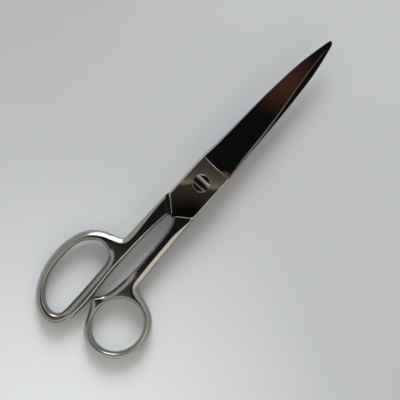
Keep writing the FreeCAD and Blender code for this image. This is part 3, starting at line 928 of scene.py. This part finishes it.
def floor_material():
    n = Nodes("floor_paper")
    n.shader.inputs["Roughness"].default_value = 0.75
    n.shader.inputs["Specular IOR Level"].default_value = 0.25
    shade = n.noise(0.012, 3.0, 0.5)
    colour = n.ramp(shade, "Fac", [(0.3, (0.545, 0.56, 0.58)), (0.7, (0.57, 0.585, 0.60))])
    # painted light: a paler stretch beside the handles; painted shade: a greyer one past the blades
    near = (-170.0, -50.0, 200.0, 200.0, 0, (0.88, 0.91, 0.92), 1.0)
    far = (40.0, 150.0, 150.0, 120.0, 0, (0.46, 0.465, 0.465), 0.7)
    n.tree.links.new(n.stained(colour.outputs["Color"], [near, far]), n.shader.inputs["Base Color"])
    return n.material


FLOOR_HALF = 4000.0             # half the floor's length
SCREW_FOOT = -2.1               # x of the rim of the screw's end, which the floor touches
HANDLE_BACK = -60.0             # the floor touches the handles somewhere beyond this x
FLOOR_CLEAR = 0.02              # how far the floor then stays clear of both


def lay_floor():
    """A floor just clear of the screw's end and the handles, since the shears rest on those."""
    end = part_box("pivot_screw")[0].z / MM
    handles = (thumb_handle, finger_handle)
    points = np.vstack([np.array([v.co for v in obj.data.vertices]) / MM for obj in handles])
    back = points[points[:, 0] < HANDLE_BACK]
    rise = ((back[:, 2] - end) / (SCREW_FOOT - back[:, 0])).min()
    corners = [(sx * FLOOR_HALF, sy * FLOOR_HALF) for sx, sy in ((-1, -1), (1, -1), (1, 1), (-1, 1))]
    floor = new_object("floor", [
        (x, y, end + rise * (SCREW_FOOT - x) - FLOOR_CLEAR) for x, y in corners], [(0, 1, 2, 3)])
    give(floor, floor_material())


def area_light(name, direction, elevation, distance, size, power, colour):
    """A soft rectangular light that looks at the pivot from a direction and an elevation in degrees."""
    data = bpy.data.lights.new(name, "AREA")
    data.shape = "RECTANGLE"
    data.size, data.size_y = size
    data.energy, data.color = power, colour
    light = bpy.data.objects.new(name, data)
    up = math.radians(elevation)
    flat = Vector((direction[0], direction[1], 0)).normalized()
    light.location = distance * (flat * math.cos(up) + Vector((0, 0, math.sin(up))))
    light.rotation_euler = light.location.to_track_quat("Z", "Y").to_euler()
    bpy.context.scene.collection.objects.link(light)
    return light


OVERHEAD = (0.19, -0.04, 0.98)          # middle of the dark patch
WARM_SPOT = (0.277, -0.112, 0.954)      # and of the warm spot in it
WINDOW_SIDE = (0.715, 0.568, 0.407)     # where the polished steel sees the window
WALL_SIDE = (-0.13, -0.81, 0.57)        # and a warm bright wall opposite


def studio_world():
    """Soft room light. The flat polished faces reflect a dark patch overhead, with one warm spot in it."""
    world = bpy.data.worlds.new("studio")
    world.use_nodes = True
    tree = world.node_tree
    coord = tree.nodes.new("ShaderNodeTexCoord")

    def nearness(direction):
        node = tree.nodes.new("ShaderNodeVectorMath")
        node.operation = "DOT_PRODUCT"
        node.inputs[1].default_value = Vector(direction).normalized()
        tree.links.new(coord.outputs["Generated"], node.inputs[0])
        return node.outputs["Value"]

    def shades(value, stops):
        node = tree.nodes.new("ShaderNodeValToRGB")
        set_stops(node, stops)
        tree.links.new(value, node.inputs["Fac"])
        return node.outputs["Color"]

    def lobe(direction, wide, narrow, colour):
        """Light from round a direction: full inside the narrow angle and none outside the wide one."""
        node = tree.nodes.new("ShaderNodeMapRange")
        node.interpolation_type = "SMOOTHSTEP"
        node.inputs["From Min"].default_value = math.cos(math.radians(wide))
        node.inputs["From Max"].default_value = math.cos(math.radians(narrow))
        tree.links.new(nearness(direction), node.inputs["Value"])
        tint = tree.nodes.new("ShaderNodeVectorMath")
        tint.operation = "SCALE"
        tint.inputs[0].default_value = colour
        tree.links.new(node.outputs["Result"], tint.inputs["Scale"])
        return tint.outputs["Vector"]

    def plus(a, b):
        node = tree.nodes.new("ShaderNodeVectorMath")
        node.operation = "ADD"
        tree.links.new(a, node.inputs[0])
        tree.links.new(b, node.inputs[1])
        return node.outputs["Vector"]

    # from the sides of the room at 0 to the middle of the dark patch at 1
    total = shades(nearness(OVERHEAD), [
        (0.0, (0.30, 0.30, 0.29)), (0.20, (0.33, 0.325, 0.305)), (0.42, (0.44, 0.43, 0.40)),
        (0.64, (0.54, 0.525, 0.49)), (0.80, (0.375, 0.35, 0.305)), (0.88, (0.145, 0.13, 0.11)),
        (0.935, (0.020, 0.019, 0.019)), (1.0, (0.006, 0.006, 0.006))])
    for light in (
            lobe(WARM_SPOT, 2.35, 2.2, (0.085, 0.026, 0.018)),
            lobe(WINDOW_SIDE, 26, 12, (2.4, 2.4, 2.4)),
            lobe(WALL_SIDE, 30, 8, (0.45, 0.40, 0.30))):
        total = plus(total, light)
    tree.links.new(total, tree.nodes["Background"].inputs["Color"])
    tree.nodes["Background"].inputs["Strength"].default_value = 1.0
    bpy.context.scene.world = world


lay_floor()
studio_world()
window = area_light("window", direction=(0.78, 0.62), elevation=24, distance=2.6, size=(1.5, 0.84),
                    power=54, colour=(0.93, 0.97, 1.0))
ceiling = area_light("ceiling", direction=(1, 0), elevation=89, distance=2.0, size=(0.8, 0.8),
                     power=6, colour=(0.97, 0.985, 1.0))
for light in (window, ceiling):
    light.visible_glossy = False     # the world shows the polished steel a softer picture of the room

VIEW_MIDDLE = (-6.9, -5.4)      # what the camera looks straight down at
VIEW_WIDTH = 210.5              # width of the view there
VIEW_ANGLE = 38.7               # field of view in degrees
VIEW_TURN = 47.3                # the blades' slant up from the picture's level

camera_data = bpy.data.cameras.new("camera")
camera_data.angle = math.radians(VIEW_ANGLE)
camera_data.clip_start = 0.01
camera = bpy.data.objects.new("camera", camera_data)
reach = VIEW_WIDTH / 2 / math.tan(math.radians(VIEW_ANGLE) / 2)
camera.location = Vector((*VIEW_MIDDLE, reach)) * MM
camera.rotation_euler = (0, 0, -math.radians(VIEW_TURN))
bpy.context.scene.collection.objects.link(camera)
bpy.context.scene.camera = camera
bpy.context.scene.view_settings.view_transform = "Standard"
